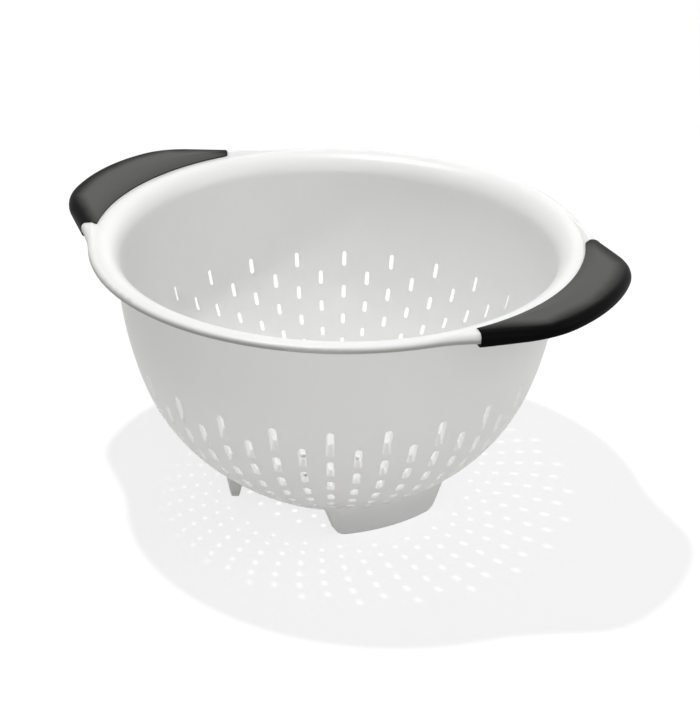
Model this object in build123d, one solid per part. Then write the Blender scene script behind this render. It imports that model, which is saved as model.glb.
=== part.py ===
from build123d import *
import math
import os

# A round kitchen colander that stands on three feet, with two soft grips.
# Millimetres. The bowl's axis is Z, the table is at zero, and the grips lie on X.

# Bowl: outside sizes of the moulded shell
rim_radius = 139.6       # outer edge of the rim, away from the handles
rim_height = 155.3       # crest of the rim above the table
rim_round = 2.5          # rounding of the rim's outer edge
lip_depth = 3.4          # height of the turned-down lip below the crest
lip_round = 0.8          # rounding below the lip's outer edge
shoulder_radius = 124.2  # outer wall where the flare starts
shoulder_height = 142.8
shoulder_lean = 0.8      # degrees that the wall leans outwards there
base_radius = 37.6       # flat part of the floor
base_height = 5.0        # underside of the floor above the table
wall = 2.1               # thickness of the shell
overrun = 1.5            # how far every cutter runs past what it cuts

# Where the arcs of the outer wall meet, as shares of the way from the floor's edge
# to the shoulder, across and up
belly_shares = ((0.873, 0.5245), (0.567, 0.211), (0.2376, 0.0437))

# Slots: one ring of them at each height, alternate rings half a pitch round
slots_per_ring = 24
slot_outer_width = 4.5   # across a slot at the outside of the wall
slot_inner_width = 2.5   # across a slot at the inside of the wall
slot_straight = 0.2      # least straight length between a slot's rounded ends
# Lower and upper end of each ring's slots, as shares of the bowl's height
slot_ring_shares = (
    (0.4810, 0.5995),
    (0.4240, 0.5190),
    (0.3790, 0.4600),
    (0.3360, 0.3990),
    (0.2930, 0.3490),
    (0.2550, 0.2995),
    (0.2195, 0.2620),
    (0.1900, 0.2250),
    (0.1620, 0.1890),
    (0.1370, 0.1610),
    (0.1145, 0.1360),
)

# Drain holes through the floor and its rounded edge
drain_diameter = 3.6
# Each ring's radius as a share of the innermost slot ring's, and its number of holes
drain_ring_shares = ((0.76, 24), (0.645, 24), (0.53, 24), (0.415, 24), (0.30, 12), (0.185, 6))

# Feet: three curved plates moulded with the bowl
foot_count = 3
foot_radius = 64.4       # outer face of a foot at the table, in its middle
foot_curve = 95.0        # plan radius of that face
foot_thickness = 3.0     # radial thickness of a foot at the table
foot_width = 62.0        # width of a foot at the table, before its corners are rounded
foot_corner = 7.0        # rounding of the two lower corners
foot_blend = 10.0        # rounding where a foot's sides run into the bowl
foot_lean = 11.0         # degrees that the outer face leans outwards
foot_draft = 18.0        # degrees that the sides lean outwards
foot_taper = 5.0         # degrees that the inner face leans inwards
first_foot = 90.0        # degrees round from the handle axis

# Handles: two lobes of the rim that rise above it, each wrapped by a soft grip
handle_overhang = 27.3   # reach of a grip beyond the rim
handle_curve = 120.0     # plan radius of a grip's outer edge in the middle
handle_corner = 45.0     # plan radius of a handle's two outer corners
handle_root = 34.7       # degrees from the handle axis to where its sides leave the rim
handle_flank = 53.1      # degrees from the handle axis that its sides face
handle_blend = 100.0     # plan radius between its sides and the round rim
handle_rise = 5.1        # height of a handle's middle above the rim's crest
handle_arch = 850.0      # radius of the arch that a handle's top follows
handle_fade = 200.0      # radius by which the arch runs out into the level crest
handle_land = 1.0        # level part of the crest inside a handle's rise
handle_swell = 15.0      # width over which a handle rises from there
grip_half_angle = 28.0   # degrees from the handle axis to a grip's inner corners
grip_end_angle = 43.0    # degrees from the handle axis along which its ends run
grip_lap = 2.8           # width of the rim's crest that a grip covers
grip_proud = 0.6         # height of a grip above the white plastic beside it
grip_depth = 6.6         # underside of a grip at its root, below the crest
grip_lift = 5.6          # rise of the underside from the root to the tip
grip_skin = 1.4          # depth of the pocket that a grip's inner edge lies in
grip_edge = 5.0          # soft layer outside the core
grip_corner = 2.2        # rounding of the two inner corners of a grip
grip_top_round = 4.7     # rounding of the outer edge above
grip_under_round = 1.5   # rounding of the outer edge below
core_thickness = 3.0     # stiff plate inside each grip
key_count = 3            # holes in the plate that the soft material fills
key_diameter = 9.0
key_spacing = 11.0       # degrees between the holes

# Sizes that follow from those above
flare = rim_height - shoulder_height
bowl_height = rim_height - base_height
handle_reach = rim_radius + handle_overhang
lap_radius = rim_radius - grip_lap
core_top = rim_height - grip_skin
core_bottom = core_top - core_thickness
grip_bottom = rim_height - grip_depth
handle_top = rim_height + handle_rise
crest_inner = shoulder_radius + flare - wall
grip_slope = grip_lift / handle_overhang
pitch = 360.0 / slots_per_ring
seam_angle = pitch * 3.25     # between two columns of slots, clear of handles and feet
halvings = 40


def at(radius, height):
    """A point of the bowl's section, in the plane of the handles."""
    return Vector(radius, 0, height)


def arc_chain():
    """The outer wall from the shoulder down: arcs that run smoothly into one another."""
    width = shoulder_radius - base_radius
    height = shoulder_height - base_height
    nodes = [at(base_radius + width * x, base_height + height * z) for x, z in belly_shares]
    nodes.append(at(base_radius, base_height))
    lean = math.radians(shoulder_lean)
    start = at(shoulder_radius, shoulder_height)
    tangent = Vector(-math.sin(lean), 0, -math.cos(lean))
    arcs = []
    for end in nodes:
        chord = end - start
        normal = Vector(tangent.Z, 0, -tangent.X)
        radius = chord.dot(chord) / (2 * chord.dot(normal))
        centre = start + normal * radius
        arcs.append((start, end, centre, radius))
        step = chord.normalized()
        tangent = step * (2 * tangent.dot(step)) - tangent
        start = end
    return arcs


def wall_curve(arcs, inset):
    """Edges along the wall from the shoulder down, at a depth inside the outer face."""
    edges = []
    for start, end, centre, radius in arcs:
        middle = ((start + end) * 0.5 - centre).normalized()
        places = []
        for direction in ((start - centre).normalized(), middle, (end - centre).normalized()):
            places.append(centre + direction * (radius - inset))
        edges.append(ThreePointArc(*places))
    return edges


def wall_point(arcs, height):
    """Where the outer face of the wall stands at a height."""
    for start, end, centre, radius in arcs:
        if height >= end.Z:
            break
    return at(centre.X + math.sqrt(radius**2 - (height - centre.Z) ** 2), height)


def revolved(edges, angle=360.0):
    """A solid turned about the bowl's axis from the edges round its half section."""
    section = make_face(edges)
    if angle < 360.0:
        return revolve(section, Axis.Z, angle).rotate(Axis.Z, -angle / 2)
    return revolve(section, Axis.Z).rotate(Axis.Z, seam_angle)


def bowl_body(arcs, inset, top_height):
    """The filled shape inside the wall and the flare above it, at a depth below the outer face."""
    edges = wall_curve(arcs, inset)
    shoulder = edges[0] @ 0
    floor = edges[-1] @ 1
    flare_end = at(shoulder_radius + flare - wall, rim_height - wall + inset)
    edges += [
        TangentArc(shoulder, flare_end, tangent=Vector(0, 0, 1)),
        Line(flare_end, at(flare_end.X, top_height)),
        Line(at(flare_end.X, top_height), at(0, top_height)),
        Line(at(0, top_height), at(0, floor.Z)),
        Line(at(0, floor.Z), floor),
    ]
    return revolved(edges)


def round_the_axis(shape, count, first_angle):
    """Copies of a shape, evenly spaced about the bowl's axis."""
    return [shape.rotate(Axis.Z, first_angle + copy * 360.0 / count) for copy in range(count)]


def slot_cutter(low, high, longest):
    """Cutter for one slot. Its upper end is level and its lower end upright in the longest slots."""
    rise = high - low
    lean = math.atan2(rise.X, rise.Z)
    along = rise.normalized()
    outward = Vector(along.Z, 0, -along.X)
    draw = rise.length / longest
    sections = []
    for depth in (-overrun, wall + overrun):
        narrowing = (slot_outer_width - slot_inner_width) * depth / wall
        width = slot_outer_width - narrowing
        upper = rise.length / 2 - draw * (depth * math.tan(lean) + narrowing / 2)
        lower = -rise.length / 2 + draw * (depth / math.tan(lean) + narrowing / 2)
        length = max(upper - lower, width + slot_straight)
        centre = (low + high) / 2 - outward * depth + along * ((upper + lower) / 2)
        plane = Plane(origin=centre, x_dir=along, z_dir=outward)
        sections.append(plane * SlotOverall(length, width))
    return loft(sections, ruled=True)


def slot_cutters(arcs):
    """All the slots of the wall, ring by ring from the top."""
    ends = []
    for low_share, high_share in slot_ring_shares:
        low = wall_point(arcs, base_height + bowl_height * low_share)
        high = wall_point(arcs, base_height + bowl_height * high_share)
        ends.append((low, high))
    longest = (ends[0][1] - ends[0][0]).length
    cutters = []
    for ring, (low, high) in enumerate(ends):
        shift = pitch / 2 * (ring % 2)
        cutters += round_the_axis(slot_cutter(low, high, longest), slots_per_ring, shift)
    return cutters


def drain_cutters(arcs):
    """Upright holes through the floor, in rings inside the lowest ring of slots."""
    lowest = wall_point(arcs, base_height + bowl_height * slot_ring_shares[-1][0])
    top = lowest.Z + wall + overrun
    hole = Cylinder(drain_diameter / 2, top, align=(Align.CENTER, Align.CENTER, Align.MIN))
    cutters = []
    for ring, (radius_share, count) in enumerate(drain_ring_shares):
        shift = pitch / 2 * ((ring + 1) % 2)
        cutters += round_the_axis(Pos(lowest.X * radius_share, 0, 0) * hole, count, shift)
    return cutters


def foot_meeting(arcs, side):
    """Height at which a foot's outer face meets the bowl, at a distance from the foot's middle."""
    slope = math.tan(math.radians(foot_lean))
    low, high = base_height, shoulder_height
    for _ in range(halvings):
        height = (low + high) / 2
        across = foot_radius - foot_curve + math.sqrt((foot_curve + slope * height) ** 2 - side**2)
        if wall_point(arcs, height).X < math.hypot(across, side):
            low = height
        else:
            high = height
    return height


def foot(arcs):
    """One foot on the +X side: a curved plate with rounded corners that runs into the bowl."""
    outer_slope = math.tan(math.radians(foot_lean))
    inner_slope = math.tan(math.radians(foot_taper))
    half = foot_width / 2
    join = foot_meeting(arcs, half)
    spread = half + join * math.tan(math.radians(foot_draft))
    reach = spread + foot_blend
    far_join = foot_meeting(arcs, reach)
    top = far_join + wall
    inner_curve = foot_curve - foot_thickness
    section = Polyline(
        at(inner_curve, 0),
        at(foot_curve, 0),
        at(foot_curve + outer_slope * top, top),
        at(inner_curve - inner_slope * top, top),
        close=True,
    )
    ring = Pos(foot_radius - foot_curve, 0) * revolved(section, 180.0)
    outline = Polyline(
        (-half, 0),
        (half, 0),
        (spread, join),
        (reach, far_join),
        (reach, top),
        (-reach, top),
        (-reach, far_join),
        (-spread, join),
        close=True,
    )
    front = make_face(outline)
    lower_corners = front.vertices().filter_by(lambda corner: corner.Y < join / 2)
    front = fillet(lower_corners, foot_corner)
    side_corners = front.vertices().filter_by(
        lambda corner: abs(corner.Y - join) < wall / 10 and abs(corner.X) < spread + overrun
    )
    front = fillet(side_corners, foot_blend)
    stencil = extrude(Plane.YZ * front, foot_radius * 2)
    return ring & stencil


def plan_outline():
    """The rim seen from above: a circle with a blunt lobe at each handle."""
    root = math.radians(handle_root)
    side = math.radians(handle_flank)
    foot_x, foot_y = rim_radius * math.cos(root), rim_radius * math.sin(root)
    apex = foot_x + foot_y * math.tan(side)
    flanks = make_face(Polyline((0, 0), (foot_x, -foot_y), (apex, 0), (foot_x, foot_y), close=True))
    lobe = flanks & Pos(handle_reach - handle_curve, 0) * Circle(handle_curve)
    outline = Circle(rim_radius) + both_sides(lobe)
    corners = outline.vertices().filter_by(
        lambda corner: corner.center().length > rim_radius + overrun
    )
    outline = fillet(corners, handle_corner)
    roots = outline.vertices().filter_by(
        lambda corner: abs(corner.center().length - rim_radius) < wall / 10
        and abs(abs(corner.Y) - foot_y) < wall
    )
    return fillet(roots, handle_blend)


def wedge(spread=0.0):
    """A flat wedge about +X whose sides run along the ends of a grip."""
    angle = math.radians(grip_half_angle)
    slope = math.tan(math.radians(grip_end_angle))
    apex = lap_radius * (math.cos(angle) - math.sin(angle) / slope)
    length = handle_reach
    half = length * slope
    face = make_face(Polyline((apex, 0), (apex + length, -half), (apex + length, half), close=True))
    if spread:
        face = offset(face, spread, kind=Kind.INTERSECTION)
    return face


def grip_plan(inner_radius):
    """The ground that a grip covers, outside an inner radius, with its inner corners rounded."""
    band = wedge() - Circle(inner_radius)
    inner_corners = band.vertices().filter_by(
        lambda corner: corner.center().length < inner_radius + wall and corner.X > 0
    )
    return fillet(inner_corners, grip_corner)


def slab(plan, bottom, top):
    """A plan raised between two heights."""
    return extrude(Pos(0, 0, bottom) * plan, top - bottom)


def both_sides(shape):
    """A shape on the +X handle and its twin on the other one."""
    return [shape, shape.rotate(Axis.Z, 180)]


def handle_arches(raised=0.0):
    """Everything below the arched tops of both handles, which run out into the level crest."""
    peak = handle_top + raised
    angle = math.acos(1 - handle_rise / (handle_arch + handle_fade))
    turn_y = handle_arch * math.sin(angle)
    turn_z = peak - handle_arch * (1 - math.cos(angle))
    level_y = turn_y + handle_fade * math.sin(angle)
    level_z = peak - handle_rise
    far = handle_reach
    uphill = Vector(math.cos(angle), math.sin(angle))
    downhill = Vector(math.cos(angle), -math.sin(angle))
    edges = [
        Line((-far, level_z), (-level_y, level_z)),
        TangentArc((-level_y, level_z), (-turn_y, turn_z), tangent=(1, 0)),
        TangentArc((-turn_y, turn_z), (turn_y, turn_z), tangent=uphill),
        TangentArc((turn_y, turn_z), (level_y, level_z), tangent=downhill),
        Line((level_y, level_z), (far, level_z)),
        Line((far, level_z), (far, 0)),
        Line((far, 0), (-far, 0)),
        Line((-far, 0), (-far, level_z)),
    ]
    return extrude(Plane.YZ * make_face(edges), handle_reach * 2, both=True)


def swell_cutter(raised=0.0):
    """What is cut away above the rounded rise from the crest's inner edge to a handle's top."""
    low, high = rim_height + raised, handle_top + raised
    rise_radius = crest_inner + handle_land
    start, end = at(rise_radius, low), at(rise_radius + handle_swell, high)
    inside = crest_inner - overrun
    over = high + overrun
    edges = [
        TangentArc(end, start, tangent=Vector(-1, 0, 0)),
        Line(start, at(inside, low)),
        Line(at(inside, low), at(inside, over)),
        Line(at(inside, over), at(end.X, over)),
        Line(at(end.X, over), end),
    ]
    return revolved(edges)


def under_cutter():
    """What is cut away below the underside of the grips, which rises outwards."""
    near, far = rim_radius - grip_edge, handle_reach + grip_edge
    low = grip_bottom - grip_depth
    return revolved(
        Polyline(
            at(near, grip_bottom - grip_slope * grip_edge),
            at(far, grip_bottom + grip_slope * (handle_overhang + grip_edge)),
            at(far, low),
            at(near, low),
            close=True,
        )
    )


def outer_edges(solid, plan, low, high):
    """The edges of a solid that run along the outside of a plan between two heights."""
    border = plan.faces()[0].outer_wire()
    found = []
    for edge in solid.edges():
        middle = edge @ 0.5
        box = edge.bounding_box()
        on_border = border.distance_to(Vertex(middle.X, middle.Y, 0)) < wall / 10
        upright = max(box.size.X, box.size.Y) < wall / 10
        if on_border and not upright and low < box.min.Z and box.max.Z < high:
            found.append(edge)
    return found


def rim_body(outline):
    """The rim with its turned-down lip and raised handles, hollow underneath except at the grips."""
    bottom = rim_height - lip_depth
    body = slab(outline, bottom, handle_top + overrun) & handle_arches()
    body -= swell_cutter()
    body = fillet(outer_edges(body, outline, rim_height - lip_round, handle_top), rim_round)
    body = fillet(outer_edges(body, outline, bottom - lip_round, bottom + lip_round), lip_round)
    hollow = slab(offset(outline, -wall), bottom - overrun, rim_height - wall)
    keep = slab(wedge(wall), bottom - overrun, rim_height)
    return body - (hollow - both_sides(keep))


def core_body(outline):
    """The stiff plate inside one grip, with its key holes, and the rib below its root."""
    section = Polyline(
        at(shoulder_radius, core_bottom),
        at(rim_radius, core_bottom),
        at(handle_reach, core_bottom + grip_lift),
        at(handle_reach, core_top + grip_lift),
        at(rim_radius, core_top),
        at(shoulder_radius, core_top),
        close=True,
    )
    inner = offset(outline, -grip_edge) & wedge()
    plate = revolved(section) & slab(inner, grip_bottom, handle_top)
    key_radius = rim_radius + (handle_overhang - grip_edge) / 2
    for key in range(key_count):
        angle = (key - (key_count - 1) / 2) * key_spacing
        hole = Rotation(0, 0, angle) * Pos(key_radius, 0, core_bottom) * Cylinder(
            key_diameter / 2, grip_depth * 3
        )
        plate -= hole
    rib = slab(
        (Circle(rim_radius) - Circle(rim_radius - wall)) & wedge(), grip_bottom, core_bottom
    )
    return plate + (rib - under_cutter())


def grip_space():
    """The room that a grip takes out of the rim: deep outside the rim, shallow over its root."""
    over = handle_top + overrun
    return slab(grip_plan(rim_radius), grip_bottom, over) + slab(
        grip_plan(lap_radius), core_top, over
    )


def grip_envelope(outline):
    """The outside shape of one grip, before the core is taken out of it."""
    over = handle_top + grip_depth
    deep_plan = grip_plan(rim_radius) & outline
    body = slab(deep_plan, grip_bottom - grip_depth / 2, over)
    body += slab(grip_plan(lap_radius) & outline, core_top, over)
    body -= under_cutter()
    body &= handle_arches(grip_proud)
    body -= swell_cutter(grip_proud)
    top = handle_top + grip_proud + overrun
    body = fillet(outer_edges(body, outline, rim_height, top), grip_top_round)
    return fillet(outer_edges(body, outline, grip_bottom, rim_height), grip_under_round)


def bowl(outline, core):
    """The whole stiff moulding: shell, rim, cores of the handles and feet."""
    arcs = arc_chain()
    body = bowl_body(arcs, 0, rim_height)
    body += rim_body(outline)
    body -= both_sides(grip_space())
    body += both_sides(core)
    body += round_the_axis(foot(arcs), foot_count, first_foot)
    body -= bowl_body(arcs, wall, handle_top + overrun)
    body -= slot_cutters(arcs) + drain_cutters(arcs)
    return body


def main():
    os.makedirs("parts", exist_ok=True)
    outline = plan_outline()
    core = core_body(outline)
    grip = grip_envelope(outline) - core
    pieces = {
        "bowl": bowl(outline, core),
        "grip_right": grip,
        "grip_left": grip.rotate(Axis.Z, 180),
    }
    for name, shape in pieces.items():
        box = shape.bounding_box()
        print(name, "volume", round(shape.volume), "size", box.size, "lowest", round(box.min.Z, 3))
        export_step(shape, f"parts/{name}.step")


main()
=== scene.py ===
# %% [markdown]
# # A slotted colander with soft black grips
#
# This notebook dresses a colander whose shapes were already drawn as solids in a CAD program.
# The solids come in as a fixed frame: they aren't moved, and their meshes aren't changed.
# Everything is in metres, +Z is up, the bowl's axis is Z, and the two handles lie along X.
#
# The shapes are right as they come, so the work here is the camera, the light and the two
# materials.

import math

import bpy
from mathutils import Matrix, Vector

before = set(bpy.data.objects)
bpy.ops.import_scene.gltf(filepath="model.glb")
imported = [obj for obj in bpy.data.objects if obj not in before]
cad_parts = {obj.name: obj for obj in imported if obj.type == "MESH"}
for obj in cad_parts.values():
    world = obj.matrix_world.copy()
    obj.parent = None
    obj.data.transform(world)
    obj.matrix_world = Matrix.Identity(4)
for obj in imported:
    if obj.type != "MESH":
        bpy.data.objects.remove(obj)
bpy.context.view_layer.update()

# %% [markdown]
# ## The camera
#
# The camera stands where the reference photograph was taken from. It could be aimed at the bowl by
# eye, but then every later comparison with the photograph would be a guess. So its place, its turns
# and its lens were solved from the round rim, the level rings of slots and the feet, and they are
# written here as plain numbers. The long lens, from about 1.1 m, keeps the rim's ellipse slim.

# %% Camera
CAMERA_ROUND = math.radians(31.65)      # from facing the bowl square on, towards the right handle
CAMERA_BACK = 0.951953                  # distance from the bowl's axis
CAMERA_HEIGHT = 0.568777
CAMERA_YAW = math.radians(-0.4252)
CAMERA_PITCH = math.radians(27.3376)
CAMERA_ROLL = math.radians(-0.9302)
CAMERA_LENS = 92.466                    # millimetres
SENSOR_WIDTH = 36.0                     # millimetres
LEVEL_GAZE = math.radians(90)           # turns a new camera, which looks down, to look level

scene = bpy.context.scene
camera_data = bpy.data.cameras.new("camera")
camera_data.lens = CAMERA_LENS
camera_data.sensor_width = SENSOR_WIDTH
camera = bpy.data.objects.new("camera", camera_data)
scene.collection.objects.link(camera)
turn_round = Matrix.Rotation(CAMERA_ROUND, 4, "Z")
aim = (
    turn_round
    @ Matrix.Rotation(CAMERA_YAW, 4, "Z")
    @ Matrix.Rotation(-CAMERA_PITCH, 4, "X")
    @ Matrix.Rotation(CAMERA_ROLL, 4, "Y")
    @ Matrix.Rotation(LEVEL_GAZE, 4, "X")
)
aim.translation = turn_round @ Vector((0, -CAMERA_BACK, CAMERA_HEIGHT))
camera.matrix_world = aim
scene.camera = camera
print("camera at", [round(value, 3) for value in camera.location])

# %% [markdown]
# ## Colour management
#
# Blender's usual view transform rolls bright tones off, which turns a white product grey. The
# Standard one shows colours as they are written, so a white can be chosen by its number.

# %% Colour management
scene.view_settings.view_transform = "Standard"
print("view transform:", scene.view_settings.view_transform)

# %% [markdown]
# ## Nodes from code
#
# A material is a graph of nodes. It could be drawn by hand in the shader editor, but code shows
# every value and builds the same graph each time. Two helpers keep it short: one adds a node with
# its settings and inputs, and one does a sum. An input is a plain value or another node's output.

# %% Node helpers
def add_node(tree, kind, inputs=None, **settings):
    """A node of a kind, with its settings by name and its inputs by name or number."""
    node = tree.nodes.new(kind)
    for name, value in settings.items():
        setattr(node, name, value)
    for key, value in (inputs or {}).items():
        if isinstance(value, bpy.types.NodeSocket):
            tree.links.new(value, node.inputs[key])
        else:
            node.inputs[key].default_value = value
    return node


def math_node(tree, operation, *values):
    """The result of a sum on sockets or plain numbers."""
    node = add_node(tree, "ShaderNodeMath", dict(enumerate(values)), operation=operation)
    return node.outputs["Value"]


def smooth_step(tree, value, start, full):
    """Nought below start, one above full, and a soft rise between."""
    limits = {"Value": value, "From Min": start, "From Max": full}
    node = add_node(tree, "ShaderNodeMapRange", limits, interpolation_type="SMOOTHSTEP")
    return node.outputs["Result"]


print("helpers: add_node, math_node, smooth_step")

# %% [markdown]
# ## The floor and the backdrop
#
# The photograph has a pure white ground on which only a faint shadow shows. A brightly lit white
# floor would give that too, but the same light would burn out the white bowl. So the floor has two
# faces. The camera, and anything that mirrors or is clear, sees mostly a plain white glow with a
# little shaded white added, so the shadow stays but is pale. Far from the bowl the glow alone is
# left, and the floor runs into the white backdrop. Every other ray meets an ordinary pale floor,
# which throws soft light up at the bowl's underside.

# %% Floor shape
FLOOR_SIZE = 24.0

half = FLOOR_SIZE / 2
corners = [(-half, -half, 0), (half, -half, 0), (half, half, 0), (-half, half, 0)]
floor_mesh = bpy.data.meshes.new("floor")
floor_mesh.from_pydata(corners, [], [(0, 1, 2, 3)])
floor = bpy.data.objects.new("floor", floor_mesh)
scene.collection.objects.link(floor)
print("floor, m:", FLOOR_SIZE, "square")

# %% Floor material
FLOOR_GLOW = 0.76                       # white that is seen whatever the light
FLOOR_SHADE = 0.30                      # share of the floor that takes the shadow
FADE_START, FADE_FULL = 0.42, 1.0       # distances at which the floor runs into plain white
FLOOR_PALE = 0.8                        # what the floor throws back of the light on it
MATT = 1.0                              # roughness of a surface with no gloss at all


def grey(level):
    """A neutral colour as Blender wants it: red, green, blue and alpha."""
    return (level, level, level, 1)


def new_material(name):
    """A new material, its Principled shader and its node tree."""
    material = bpy.data.materials.new(name)
    material.use_nodes = True
    tree = material.node_tree
    return material, tree.nodes["Principled BSDF"], tree


def seen_ray(tree):
    """One for a ray that comes from the camera, a mirror or glass, and nought for any other."""
    rays = add_node(tree, "ShaderNodeLightPath").outputs
    mirrored = math_node(tree, "MAXIMUM", rays["Is Glossy Ray"], rays["Is Transmission Ray"])
    return math_node(tree, "MAXIMUM", rays["Is Camera Ray"], mirrored)


def mix_shaders(tree, share, first, second):
    """The first shader where the share is nought, and the second where it is one."""
    return add_node(tree, "ShaderNodeMixShader", {0: share, 1: first, 2: second}).outputs["Shader"]


def paint(obj, material):
    """The object wears one material, all over."""
    obj.data.materials.clear()
    obj.data.materials.append(material)


floor_material, shader, tree = new_material("floor_white")
shader.inputs["Base Color"].default_value = grey(FLOOR_PALE)
shader.inputs["Roughness"].default_value = MATT
shader.inputs["Specular IOR Level"].default_value = 0.0
glow = add_node(tree, "ShaderNodeEmission", {"Strength": FLOOR_GLOW})
matt = add_node(tree, "ShaderNodeBsdfDiffuse", {"Color": grey(FLOOR_SHADE)})
near = add_node(tree, "ShaderNodeAddShader", {0: glow.outputs["Emission"], 1: matt.outputs["BSDF"]})
far = add_node(tree, "ShaderNodeEmission", {"Color": grey(1)})
place = add_node(tree, "ShaderNodeTexCoord").outputs["Object"]
distance = add_node(tree, "ShaderNodeVectorMath", {0: place}, operation="LENGTH").outputs["Value"]
away = smooth_step(tree, distance, FADE_START, FADE_FULL)
seen_floor = mix_shaders(tree, away, near.outputs["Shader"], far.outputs["Emission"])
surface = mix_shaders(tree, seen_ray(tree), shader.outputs["BSDF"], seen_floor)
tree.links.new(surface, tree.nodes["Material Output"].inputs["Surface"])
paint(floor, floor_material)
print("floor material nodes:", len(tree.nodes))

# %% [markdown]
# ## The world
#
# A studio surrounds a white product with white cloth. A ring of real cloths could be modelled, but
# one even colour round the whole scene does the same with less noise. It gives a weak light from
# all sides, and the camera and reflections see it as pure white.

# %% World
WORLD_LIGHT = 0.17

world = bpy.data.worlds.new("studio")
scene.world = world
world.use_nodes = True
tree = world.node_tree
tree.nodes.clear()
cloth = add_node(tree, "ShaderNodeBackground", {"Color": grey(1), "Strength": WORLD_LIGHT})
white = add_node(tree, "ShaderNodeBackground", {"Color": grey(1)})
weak, full = cloth.outputs["Background"], white.outputs["Background"]
sky = mix_shaders(tree, seen_ray(tree), weak, full)
add_node(tree, "ShaderNodeOutputWorld", {"Surface": sky})
print("world light:", WORLD_LIGHT)

# %% [markdown]
# ## The lamps
#
# Area lamps are the lit boxes of the studio. A sun lamp would be simpler, but its shadow has no
# falling off. The photograph's shadow has a crisp edge and is full of spots of light from the
# slots, which only a small lamp can throw. Its place was solved from the shadow: high above, a
# little behind and to the left. Wide boxes overhead, in front, at the right and behind soften all
# the rest. To choose their powers, each lamp was rendered alone, and the pictures were weighed
# against the photograph. The places turn with the camera.

# %% Lamps
BOWL_MIDDLE = (0, 0, 0.1)
LAMPS = {
    "key_lamp": {"place": (-0.349, 0.266, 1.948), "size": 0.06, "power": 21.0},
    "top_lamp": {"place": (0.0, 0.2, 1.7), "size": 1.4, "power": 1.7},
    "front_lamp": {"place": (0.15, -1.6, 0.72), "size": 1.0, "power": 6.0},
    "right_lamp": {"place": (1.3, -0.3, 1.0), "size": 0.9, "power": 4.0},
    "back_lamp": {"place": (0.3, 1.5, 0.8), "size": 0.9, "power": 3.0},
}


def soft_box(name, place, size, power):
    """A square area lamp that faces the middle of the bowl."""
    lamp = bpy.data.lights.new(name, "AREA")
    lamp.shape = "SQUARE"
    lamp.size = size
    lamp.energy = power
    holder = bpy.data.objects.new(name, lamp)
    scene.collection.objects.link(holder)
    gaze = (Vector(BOWL_MIDDLE) - place).to_track_quat("-Z", "Y")
    holder.matrix_world = Matrix.Translation(place) @ gaze.to_matrix().to_4x4()


for name, values in LAMPS.items():
    soft_box(name, turn_round @ Vector(values["place"]), values["size"], values["power"])
print("lamps, W:", {name: values["power"] for name, values in LAMPS.items()})

# %% [markdown]
# ## The white plastic
#
# The bowl is injection-moulded polypropylene: an off-white that lets a good deal of light in under
# its surface, with a soft satin gloss. A plain white diffuse surface would look like chalk, so
# subsurface scattering carries the light inside. Real mouldings aren't quite even. A broad faint
# noise changes the gloss, and a very fine one gives the orange-peel texture. Both are read in
# object space, so they keep their scale and need no unwrapping.

# %% White plastic: gloss and texture
PLASTIC_IOR = 1.49
SCATTER_BY_COLOUR = (1.0, 0.95, 0.85)   # how far red, green and blue light go, compared
CLOUD_SCALE, CLOUD_DETAIL = 14.0, 3.0
SATIN_LEAST, SATIN_MOST = 0.33, 0.43    # roughness
PEEL_SCALE, PEEL_DETAIL = 900.0, 2.0
PEEL_STRENGTH, PEEL_DEPTH = 0.06, 0.0002


def noise(tree, place, scale, detail):
    """Cloudy noise between nought and one."""
    inputs = {"Vector": place, "Scale": scale, "Detail": detail}
    return add_node(tree, "ShaderNodeTexNoise", inputs).outputs["Fac"]


def stretch(tree, share, low, high):
    """A share between nought and one, stretched to lie between two values."""
    inputs = {"Value": share, "To Min": low, "To Max": high}
    return add_node(tree, "ShaderNodeMapRange", inputs).outputs["Result"]


def relief(tree, shader, height, strength, depth):
    """Fine relief on a shader, from a height between nought and one."""
    inputs = {"Height": height, "Strength": strength, "Distance": depth}
    bump = add_node(tree, "ShaderNodeBump", inputs)
    tree.links.new(bump.outputs["Normal"], shader.inputs["Normal"])


white_plastic, shader, tree = new_material("white_polypropylene")
shader.inputs["IOR"].default_value = PLASTIC_IOR
shader.inputs["Subsurface Radius"].default_value = SCATTER_BY_COLOUR
surface_place = add_node(tree, "ShaderNodeTexCoord").outputs
place = surface_place["Object"]
satin = stretch(tree, noise(tree, place, CLOUD_SCALE, CLOUD_DETAIL), SATIN_LEAST, SATIN_MOST)
tree.links.new(satin, shader.inputs["Roughness"])
relief(tree, shader, noise(tree, place, PEEL_SCALE, PEEL_DETAIL), PEEL_STRENGTH, PEEL_DEPTH)
print("white plastic, roughness:", SATIN_LEAST, "to", SATIN_MOST)

# %% [markdown]
# ## Painted shade below the rim
#
# The rim's rounded outer edge is painted darker where it turns down below the crest. This is
# painted shade: a thin grey line where the edge faces away from the light. It could be painted on
# an image, but the place is easy to say in numbers: it is where the surface is both near the rim's
# outer radius and below its crest. The two masks are multiplied, and the result mixes two whites.

# %% White plastic: painted shade below the rim
PLASTIC_WHITE = (0.85, 0.85, 0.838, 1)
PAINTED_SHADE_WHITE = (0.36, 0.36, 0.35, 1)
SHADE_TOP, SHADE_FULL = 0.1555, 0.1530            # heights between which the painted shade comes in
SHADE_INSIDE, SHADE_OUTSIDE = 0.1366, 0.1388      # distances from the axis, likewise


def components(tree, vector):
    """The X, Y and Z of a vector."""
    return add_node(tree, "ShaderNodeSeparateXYZ", {"Vector": vector}).outputs


def vector_sum(tree, operation, *vectors):
    """The outputs of a sum on vectors: a vector and a plain value."""
    inputs = dict(enumerate(vectors))
    return add_node(tree, "ShaderNodeVectorMath", inputs, operation=operation).outputs


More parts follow.
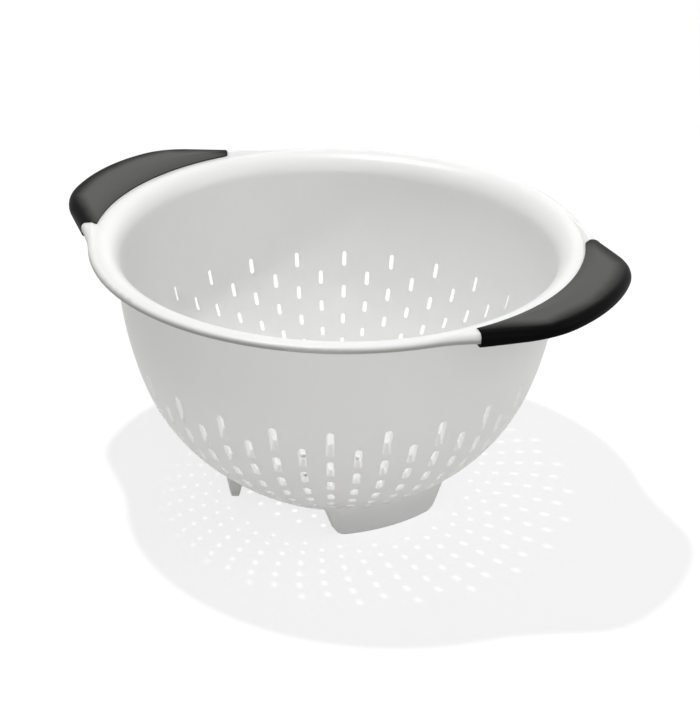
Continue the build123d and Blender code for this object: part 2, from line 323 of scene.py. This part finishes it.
def level_part(tree, vector):
    """A vector with its height taken out."""
    parts = components(tree, vector)
    flat = add_node(tree, "ShaderNodeCombineXYZ", {"X": parts["X"], "Y": parts["Y"]})
    return flat.outputs["Vector"]


def mix_colours(tree, share, first, second):
    """The first colour where the share is nought, and the second where it is one."""
    inputs = {"Factor": share, "A": first, "B": second}
    return add_node(tree, "ShaderNodeMix", inputs, data_type="RGBA").outputs["Result"]


height = components(tree, place)["Z"]
from_axis = level_part(tree, place)
reach = vector_sum(tree, "LENGTH", from_axis)["Value"]
outer = smooth_step(tree, reach, SHADE_INSIDE, SHADE_OUTSIDE)
depth = math_node(tree, "SUBTRACT", SHADE_TOP, height)
below = smooth_step(tree, depth, 0.0, SHADE_TOP - SHADE_FULL)
# Painted shade: the rim's outer edge is darkened where it turns down, away from the light.
painted_rim_shade = math_node(tree, "MULTIPLY", outer, below)
rim_shaded_white = mix_colours(tree, painted_rim_shade, PLASTIC_WHITE, PAINTED_SHADE_WHITE)
print("soil comes in between, m:", SHADE_TOP, "and", SHADE_FULL)

# %% [markdown]
# ## Where the slots' faces are
#
# The faces inside the slots glow, partly because light travels far along the thin wall before it
# comes out there, and partly because their white is painted lighter, which is painted light. First
# they have to be found. The bowl is one mesh, so they have no material slot of their own, but the
# way that they face gives them away. At the slots' height, the wall itself never looks sideways
# round the bowl, and it never looks upwards without also looking in towards the axis. The slots'
# sides do the one, and their lower ends the other.

# %% White plastic: the slots' faces
SLOTS_START, SLOTS_FULL = 0.020, 0.022          # heights between which the slots begin
SLOTS_OVER, SLOTS_END = 0.096, 0.098            # heights between which they end
SIDEWAYS_START, SIDEWAYS_FULL = 0.15, 0.4       # share of the facing that is sideways
OUTWARD_START, OUTWARD_FULL = -0.15, 0.05       # share that looks away from the axis
UPWARD_START, UPWARD_FULL = 0.05, 0.25          # share that looks up

normal = surface_place["Normal"]
upward_share = components(tree, normal)["Z"]
level_normal = level_part(tree, normal)
outward = vector_sum(tree, "NORMALIZE", from_axis)["Vector"]
outward_share = vector_sum(tree, "DOT_PRODUCT", outward, level_normal)["Value"]
across = vector_sum(tree, "CROSS_PRODUCT", outward, level_normal)["Vector"]
sideways_share = vector_sum(tree, "LENGTH", across)["Value"]
slot_side = smooth_step(tree, sideways_share, SIDEWAYS_START, SIDEWAYS_FULL)
not_inward = smooth_step(tree, outward_share, OUTWARD_START, OUTWARD_FULL)
upward = smooth_step(tree, upward_share, UPWARD_START, UPWARD_FULL)
slot_end = math_node(tree, "MULTIPLY", not_inward, upward)
above_start = smooth_step(tree, height, SLOTS_START, SLOTS_FULL)
past_end = smooth_step(tree, height, SLOTS_OVER, SLOTS_END)
in_band = math_node(tree, "MULTIPLY", above_start, math_node(tree, "SUBTRACT", 1.0, past_end))
slot_face = math_node(tree, "MAXIMUM", slot_side, slot_end)
in_slot = math_node(tree, "MULTIPLY", slot_face, in_band)
print("slots between, m:", SLOTS_START, "and", SLOTS_END)

# %% [markdown]
# ## Where the drain holes' faces are
#
# The drain holes in the floor glow in the same way, with the same painted lighter white, and they
# are easier to find: near the axis, every upright face is the inside of such a hole. The feet stand
# further out.

# %% White plastic: the drain holes' faces
DRAINS_OVER, DRAINS_END = 0.052, 0.055          # distances from the axis where the drains end
UPRIGHT_FULL, UPRIGHT_END = 0.3, 0.6            # tilt of a face up to which it is upright

past_drains = smooth_step(tree, reach, DRAINS_OVER, DRAINS_END)
tilt = math_node(tree, "ABSOLUTE", upward_share)
level_face = smooth_step(tree, tilt, UPRIGHT_FULL, UPRIGHT_END)
not_drain = math_node(tree, "MAXIMUM", past_drains, level_face)
in_drain = math_node(tree, "SUBTRACT", 1.0, not_drain)
thin = math_node(tree, "MAXIMUM", in_slot, in_drain)
print("drain holes within, m:", DRAINS_END)

# %% [markdown]
# ## The glow of thin plastic, partly painted
#
# An emission shader would be the quick way, but it would shine in the dark too. Here more of the
# light goes under the surface at those faces, and it goes further. Their white is also painted
# lighter than the wall's, which is painted light. So they still follow the light on the wall around
# them, lifted a little above it by the lighter white.

# %% White plastic: scattering and painted glow
WALL_SCATTER, WALL_REACH = 0.5, 0.005           # share of scattered light, and how far it goes
SLOT_SCATTER, SLOT_REACH = 1.0, 0.012           # the same at the thin faces
# Painted light: a lighter white on the slots' and drain holes' faces, so that they look lit.
PAINTED_GLOW_WHITE = (0.95, 0.95, 0.94, 1)

scatter = stretch(tree, thin, WALL_SCATTER, SLOT_SCATTER)
tree.links.new(scatter, shader.inputs["Subsurface Weight"])
tree.links.new(stretch(tree, thin, WALL_REACH, SLOT_REACH), shader.inputs["Subsurface Scale"])
# Painted light: the thin faces get the lighter white, the rest the wall's white.
white = mix_colours(tree, thin, rim_shaded_white, PAINTED_GLOW_WHITE)
tree.links.new(white, shader.inputs["Base Color"])
paint(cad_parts["bowl"], white_plastic)
print("white plastic nodes:", len(tree.nodes))

# %% [markdown]
# ## A painted sheen on the soft black grips
#
# The grips are a soft rubbery plastic. Their tops are painted grey and made duller, and their
# rounded outer sides stay deep black: the grey is a painted sheen, the grey that the light from
# above gives the tops. Two things tell the one from the other, both read in object space, so the
# painted sheen stays on the rubber from wherever it is seen: how much the surface faces up, and how
# far it lies from the grip's outer edge. Seen from above that edge is an arc in the middle and a
# straight flank at each side, so the distance is the lesser of the two. Broad noise makes it
# uneven.

# %% Black elastomer: painted sheen
EDGE_ARC = 0.120                        # plan radius of the grip's outer edge
EDGE_MIDDLE = 0.0469                    # where that arc has its middle, out along X
FLANK_TURN = math.radians(53.1)         # direction that the flanks face
FLANK_REACH = 0.1324                    # how far they lie from the bowl's axis
SHEEN_START, SHEEN_FULL = 0.0035, 0.0125    # the grey comes in between these distances
TOP_START, TOP_FULL = 0.5, 0.98         # and between these shares of facing up
SHEEN_NOISE_SCALE, SHEEN_NOISE_DETAIL = 45.0, 4.0
SHEEN_NOISE_LEAST, SHEEN_NOISE_MOST = -0.002, 0.002       # how far the noise moves the painted sheen

black_grip, shader, tree = new_material("black_elastomer")
surface_place = add_node(tree, "ShaderNodeTexCoord").outputs
place = surface_place["Object"]
parts = components(tree, place)
along = math_node(tree, "ABSOLUTE", parts["X"])
aside = math_node(tree, "ABSOLUTE", parts["Y"])
from_middle = math_node(tree, "SUBTRACT", along, EDGE_MIDDLE)
square = math_node(tree, "MULTIPLY", from_middle, from_middle)
radius = math_node(tree, "SQRT", math_node(tree, "MULTIPLY_ADD", aside, aside, square))
from_arc = math_node(tree, "SUBTRACT", EDGE_ARC, radius)
flank_along = math_node(tree, "MULTIPLY", along, math.cos(FLANK_TURN))
flank = math_node(tree, "MULTIPLY_ADD", aside, math.sin(FLANK_TURN), flank_along)
from_flank = math_node(tree, "SUBTRACT", FLANK_REACH, flank)
from_edge = math_node(tree, "MINIMUM", from_arc, from_flank)
sheen_noise = noise(tree, place, SHEEN_NOISE_SCALE, SHEEN_NOISE_DETAIL)
uneven = stretch(tree, sheen_noise, SHEEN_NOISE_LEAST, SHEEN_NOISE_MOST)
inward = smooth_step(tree, math_node(tree, "ADD", from_edge, uneven), SHEEN_START, SHEEN_FULL)
upward_share = components(tree, surface_place["Normal"])["Z"]
upward = smooth_step(tree, upward_share, TOP_START, TOP_FULL)
# Painted sheen: the flat tops away from the edge, which the light from above would lighten.
painted_sheen_top = math_node(tree, "MULTIPLY", inward, upward)
print("wear comes in between, m:", SHEEN_START, "and", SHEEN_FULL, "from the edge")

# %% [markdown]
# ## The look of the soft black grips
#
# Carbon black makes the rubber nearly black, and the mould gives it a fine matt grain. One dark
# grey all over would be the quick way, but it would lose the contrast between the tops and the
# sides that makes the grips look rounded. So the painted sheen chooses the colour and the gloss:
# painted light grey on the tops, black on the sides. The reflections are weak everywhere, which is
# one plain number on the shader.

# %% Black elastomer: colour, gloss and grain
RUBBER_SPECULAR = 0.03
SIDE_BLACK = (0.002, 0.002, 0.002, 1)
PAINTED_SHEEN_GREY = (0.110, 0.110, 0.105, 1)
SIDE_ROUGHNESS, TOP_ROUGHNESS = 0.42, 0.62
GRAIN_SCALE, GRAIN_DETAIL = 1600.0, 3.0
GRAIN_STRENGTH, GRAIN_DEPTH = 0.25, 0.0002

shader.inputs["Specular IOR Level"].default_value = RUBBER_SPECULAR
# Painted sheen: grey where the tops face the light from above, black elsewhere.
tree.links.new(mix_colours(tree, painted_sheen_top, SIDE_BLACK, PAINTED_SHEEN_GREY), shader.inputs["Base Color"])
dullness = stretch(tree, painted_sheen_top, SIDE_ROUGHNESS, TOP_ROUGHNESS)
tree.links.new(dullness, shader.inputs["Roughness"])
relief(tree, shader, noise(tree, place, GRAIN_SCALE, GRAIN_DETAIL), GRAIN_STRENGTH, GRAIN_DEPTH)
for side in ("grip_right", "grip_left"):
    paint(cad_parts[side], black_grip)
print("black elastomer nodes:", len(tree.nodes))
